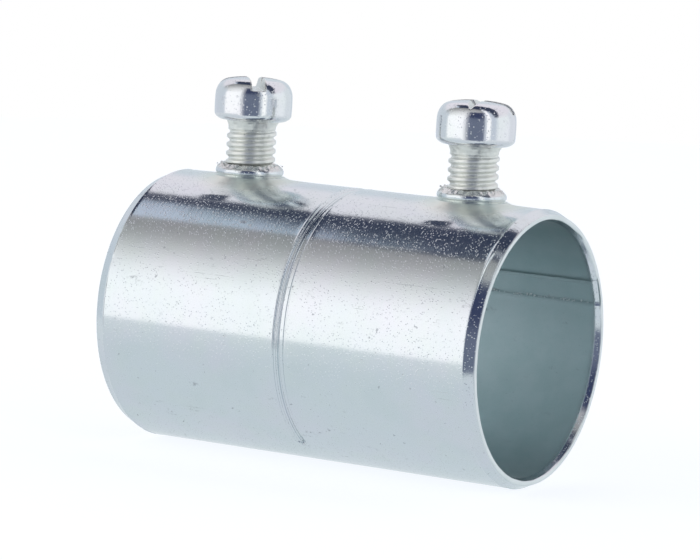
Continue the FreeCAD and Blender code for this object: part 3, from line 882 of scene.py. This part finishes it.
# %% Outline, cutters and voxel remesh
HEAD_HEIGHT, SLOT_WIDTH, SLOT_DEPTH, V_WIDTH, V_DEPTH = 5.25, 1.75, 1.45, 1.3, 0.95
HEAD_OUTLINE = ((0, 0), (3.6, 0), (4.1, 0.1), (4.46, 0.32), (4.63, 0.58), (4.68, 0.9), (4.7, 1.6),
                (4.7, 2.5), (4.67, 3.1), (4.58, 3.6), (4.3, 4.2), (3.85, 4.68), (3.2, 4.96),
                (1.8, 5.17), (0, HEAD_HEIGHT))
SLOT_TURN = {"left": 128.6, "right": 17.5}


def smooth_outline(points, pieces=6):
    """More points on a curve that passes through the given ones."""
    points = np.asarray(points, float)
    padded = np.concatenate([points[:1], points, points[-1:]])
    share = np.linspace(0, 1, pieces, endpoint=False)[:, None]
    curve = []
    for a, b, c, d in zip(padded, padded[1:], padded[2:], padded[3:]):
        curve.append(0.5 * (2 * b + (c - a) * share + (2 * a - 5 * b + 4 * c - d) * share ** 2
                            + (3 * b - a - 3 * c + d) * share ** 3))
    return np.concatenate(curve + [points[-1:]])


def lathe(name, outline, around=96, uneven=0.0, seed=0):
    """Turns an outline of (radius, height), from axis to axis, about the Z axis."""
    angles = np.arange(around) * 2 * math.pi / around
    lathed = Skin()
    wobble = 1 + rough_ring(angles, 2, 7, uneven, seed)
    ring = np.stack([np.cos(angles) * wobble, np.sin(angles) * wobble, angles * 0], -1)
    rows = [lathed.row(ring * r + [0, 0, z]) for r, z in outline[1:-1]]
    for lower, upper in zip(rows, rows[1:]):
        lathed.band(lower, upper)
    lathed.cap(rows[0], (0, 0, outline[0][1]), flip=True)
    lathed.cap(rows[-1], (0, 0, outline[-1][1]))
    return lathed.mesh(name)


def wedge(name, section):
    """A long straight cutter along X with this outline in Y and Z."""
    skin = Skin()
    near = skin.row([(-8, y, z) for y, z in section])
    far = skin.row([(8, y, z) for y, z in section])
    skin.band(near, far)
    skin.faces += [near[::-1].tolist(), far.tolist()]
    return skin.mesh(name)


def cut_head(side):
    uneven = {"left": 0.002, "right": 0.005}[side]
    turned = lathe("head", smooth_outline(HEAD_OUTLINE), uneven=uneven, seed=8)
    head = bpy.data.objects.new("head", turned)
    low, over = HEAD_HEIGHT - SLOT_DEPTH, HEAD_HEIGHT + 1
    slope = V_WIDTH / (2 * V_DEPTH)
    half, floor_half = SLOT_WIDTH / 2 + 0.08, SLOT_WIDTH / 2 - 0.2
    slot = wedge("slot", ((-floor_half, low), (floor_half, low), (half, over), (-half, over)))
    spread = (over - HEAD_HEIGHT + V_DEPTH) * slope
    notch = wedge("notch", ((0, HEAD_HEIGHT - V_DEPTH), (spread, over), (-spread, over)))
    notch.transform(Matrix.Rotation(math.radians(90), 4, "Z"))
    head.data.transform(Matrix.Scale(1 / MM, 4))
    bpy.context.scene.collection.objects.link(head)
    cutters = []
    for mesh in (slot, notch):
        mesh.transform(Matrix.Scale(1 / MM, 4))
        cutter = bpy.data.objects.new(mesh.name, mesh)
        bpy.context.scene.collection.objects.link(cutter)
        cut = head.modifiers.new(mesh.name, "BOOLEAN")
        cut.operation = "DIFFERENCE"
        cut.solver = "EXACT"
        cut.object = cutter
        cutters.append(cutter)
    voxels = head.modifiers.new("voxels", "REMESH")
    voxels.mode = "VOXEL"
    voxels.voxel_size = 0.09
    voxels.use_smooth_shade = True
    ease = head.modifiers.new("ease", "SMOOTH")
    ease.factor = 0.5
    ease.iterations = 3
    bpy.context.view_layer.update()
    depsgraph = bpy.context.evaluated_depsgraph_get()
    made = bpy.data.meshes.new_from_object(head.evaluated_get(depsgraph))
    for item in (head, *cutters):
        bpy.data.objects.remove(item)
    place = Matrix.Translation((SCREW_X[side] * MM, 0, (TIP_Z[side] + SHANK_LENGTH) * MM))
    made.transform(Matrix.Scale(MM, 4))
    spots = points_of(made)
    away = np.abs(spots[:, 1])
    in_slot = (1 - step_up(away, half - 0.02, half + 0.1)) * step_up(spots[:, 2], low - 0.12, low + 0.05)
    along = np.abs(spots[:, 0])
    in_notch = 1 - step_up(along - (spots[:, 2] - HEAD_HEIGHT + V_DEPTH) * slope, 0.0, 0.12)
    in_notch *= spots[:, 2] > HEAD_HEIGHT - V_DEPTH - 0.1
    mark_points(made, ROUGH, np.maximum(in_slot, in_notch) * 0.85)
    made.transform(place @ Matrix.Rotation(math.radians(SLOT_TURN[side]), 4, "Z"))
    made.name = f"{side}_head"
    return face_outwards(made)


head_meshes = {side: cut_head(side) for side in SIDES}


# %% Put each screw together and hand the pieces to the frame
POINT_OUTLINE = ((0, 0), (1.6, 0.0), (1.88, 0.03), (2.08, 0.13), (2.19, 0.3), (2.2, 0.5),
                 (2.2, 0.66), (2.15, POINT_LENGTH), (0, POINT_LENGTH))

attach(sleeve, "sleeve")
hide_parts("sleeve")
for side in SIDES:
    mark_points(thread_meshes[side], ROUGH, np.ones(len(thread_meshes[side].vertices)))
    screw = show(join(f"{side}_screw", [head_meshes[side], thread_meshes[side]]), screw_zinc)
    point_mesh = lathe(f"{side}_point", POINT_OUTLINE, around=72)
    point_mesh.transform(Matrix.Translation((SCREW_X[side] * MM, 0, TIP_Z[side] * MM)))
    point = show(point_mesh, screw_zinc)
    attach(screw, f"{side}_screw")
    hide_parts(f"{side}_set_screw")
    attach(point, f"{side}_travel")
    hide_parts(f"{side}_screw_point")

# %% [markdown]
# ## Studio
#
# A mirror shows the room, so the room is what makes it look like metal: a long softbox at the
# front left, a pale wall behind, a dark gap straight overhead and another beside the camera,
# and a small pale table. The room is painted on the sky by direction, and two area lights give
# the table its soft light.

# %% Table
table_mesh = bpy.data.meshes.new("table")
table_edge = 64
table_angles = np.arange(table_edge) * 2 * math.pi / table_edge
TABLE_FRONT, TABLE_BACK, TABLE_SIDE = 0.108, 0.6, 0.45
table_y = np.sin(table_angles)
table_points = np.stack([TABLE_SIDE * np.cos(table_angles),
                         np.where(table_y < 0, TABLE_FRONT * table_y, TABLE_BACK * table_y),
                         np.full(table_edge, -TUBE * MM - 0.0001)], -1)
table_mesh.from_pydata(table_points.tolist(), [], [list(range(table_edge))])
table_finish = bpy.data.materials.new("table_finish")
table_finish.use_nodes = True
table_finish.node_tree.nodes.clear()
glow = add_node(table_finish.node_tree, "ShaderNodeBsdfPrincipled", sockets={
    "Base Color": colour(0.30, 0.30, 0.31), "Roughness": 0.9, "Specular IOR Level": 0.0,
    "Emission Color": colour(0.93, 0.96, 1.0), "Emission Strength": 0.86})
add_node(table_finish.node_tree, "ShaderNodeOutputMaterial", sockets={"Surface": glow})
table = show(table_mesh, table_finish)
table.visible_glossy = False


# %% Room painted on the sky
def paint_room():
    world = bpy.data.worlds.new("room")
    bpy.context.scene.world = world
    world.use_nodes = True
    tree = world.node_tree
    tree.nodes.clear()
    way = add_node(tree, "ShaderNodeSeparateXYZ", sockets={0: add_node(tree, "ShaderNodeTexCoord")})
    x, y, z = (Wire(tree, way.socket.node.outputs[i]) for i in range(3))
    degrees = 180 / math.pi
    # over: 0 at the back, 90 overhead, 180 in front, on to 270 below
    over = (0 - z).math("ARCTAN2", 0 - y) * degrees + 180
    # beside: 0 in front (-Y), positive towards +X
    beside = x.math("ARCTAN2", 0 - y) * degrees
    height = z.math("ARCSINE") * degrees

    def grey(amount):
        return add_node(tree, "ShaderNodeCombineXYZ", sockets={0: amount, 1: amount, 2: amount})

    softbox_front = grey(0.36 + 0.89 * over.rise(101, 163))
    under_line = over.rise(97, 100).mix(colour(0.60, 0.69, 0.80), softbox_front)
    gap_end = (85.5 + 480 * (x + 0.531)).math("MAXIMUM", 78.5).math("MINIMUM", 103.4)
    past_gap = ((over - gap_end + 1.5) / 3.0).math("MAXIMUM", 0.0).math("MINIMUM", 1.0)
    ceiling = past_gap.mix(colour(0.045, 0.057, 0.098), under_line)
    ceiling_mask = over.rise(67.9, 69.3) * x.rise(-0.59, -0.565)
    ceiling_mask = ceiling_mask.math("MAXIMUM", over.rise(97, 100))
    room = ceiling_mask.mix(colour(0.94, 0.905, 0.955), ceiling)

    low = (1 - height.rise(18, 34))
    beside_gap = beside.rise(-14, 8) * (1 - beside.rise(47, 60)) * over.rise(86, 96)
    beside_gap *= 1 - height.rise(48, 60)
    gap_colour = height.rise(4, 30).mix(colour(0.17, 0.20, 0.28), colour(0.05, 0.065, 0.13))
    room = beside_gap.mix(room, gap_colour)
    strip = beside.between(58, 71, 2.0)
    right_wall = beside.rise(84, 100).mix(colour(0.66, 0.72, 0.80), colour(1.0, 1.04, 1.06))
    right_wall = beside.rise(132, 150).mix(right_wall, colour(0.84, 0.88, 0.92))
    right_wall = strip.mix(right_wall, colour(1.27, 1.27, 1.25))
    room = (beside.rise(47, 58) * low.math("MAXIMUM", over.rise(92, 100))).mix(room, right_wall)
    room = ((1 - beside.rise(-66, -56)) * low).mix(room, colour(0.70, 0.76, 0.82))

    floor_colour = height.rise(-30, -10).mix(colour(0.72, 0.785, 0.825), colour(0.80, 0.85, 0.88))
    horizon = -10.6 - 7.0 * beside.between(-12, 60, 4)
    room = (height - horizon).rise(0.0, 1.4).mix(floor_colour, room)
    shown = add_node(tree, "ShaderNodeLightPath").mix(room, colour(1, 1, 1))
    sky = add_node(tree, "ShaderNodeBackground", sockets={"Color": shown, "Strength": 1.0})
    add_node(tree, "ShaderNodeOutputWorld", sockets={"Surface": sky})
    print("room has", len(tree.nodes), "nodes")


paint_room()


# %% Lights
def softbox(name, place, size, power):
    light = bpy.data.lights.new(name, "AREA")
    light.shape = "RECTANGLE"
    light.size, light.size_y = size
    light.energy = power
    lamp = bpy.data.objects.new(name, light)
    lamp.location = place
    lamp.rotation_mode = "QUATERNION"
    lamp.rotation_quaternion = (-Vector(place)).to_track_quat("-Z", "Y")
    lamp.visible_glossy = False
    bpy.context.scene.collection.objects.link(lamp)
    return lamp


softbox("key", (-0.62, -0.78, 0.45), (0.7, 0.5), 2.5)
softbox("fill", (0.95, -0.35, 0.35), (0.12, 0.6), 0.8)

# %% [markdown]
# ## Camera
#
# The camera looks a little down on the right-hand end, is tipped a few degrees, and stands far
# off with a long lens, so the sleeve's far rim is hardly smaller than the near one.

# %% Camera
AZIMUTH, ELEVATION, ROLL = math.radians(30.34), math.radians(6.43), math.radians(3.5)
DISTANCE, LENS = 0.4606, 198.0
aim = Vector((-0.0004, 0, 0.0054))
sight = Vector((-math.sin(AZIMUTH) * math.cos(ELEVATION), math.cos(AZIMUTH) * math.cos(ELEVATION),
                -math.sin(ELEVATION)))
right = sight.cross(Vector((0, 0, 1))).normalized()
upright = right.cross(sight)
tipped_right = math.cos(ROLL) * right + math.sin(ROLL) * upright
tipped_up = math.cos(ROLL) * upright - math.sin(ROLL) * right
camera = bpy.data.objects.new("camera", bpy.data.cameras.new("camera"))
camera.data.lens = LENS
camera.data.sensor_width = 36.0
camera.data.clip_start, camera.data.clip_end = 0.01, 10.0
camera.matrix_world = Matrix.Translation(aim - sight * DISTANCE) @ Matrix(
    (tipped_right, tipped_up, -sight)).transposed().to_4x4()
bpy.context.scene.collection.objects.link(camera)
bpy.context.scene.camera = camera
bpy.context.scene.view_settings.view_transform = "Standard"
print("camera at", [round(v, 4) for v in camera.matrix_world.translation])
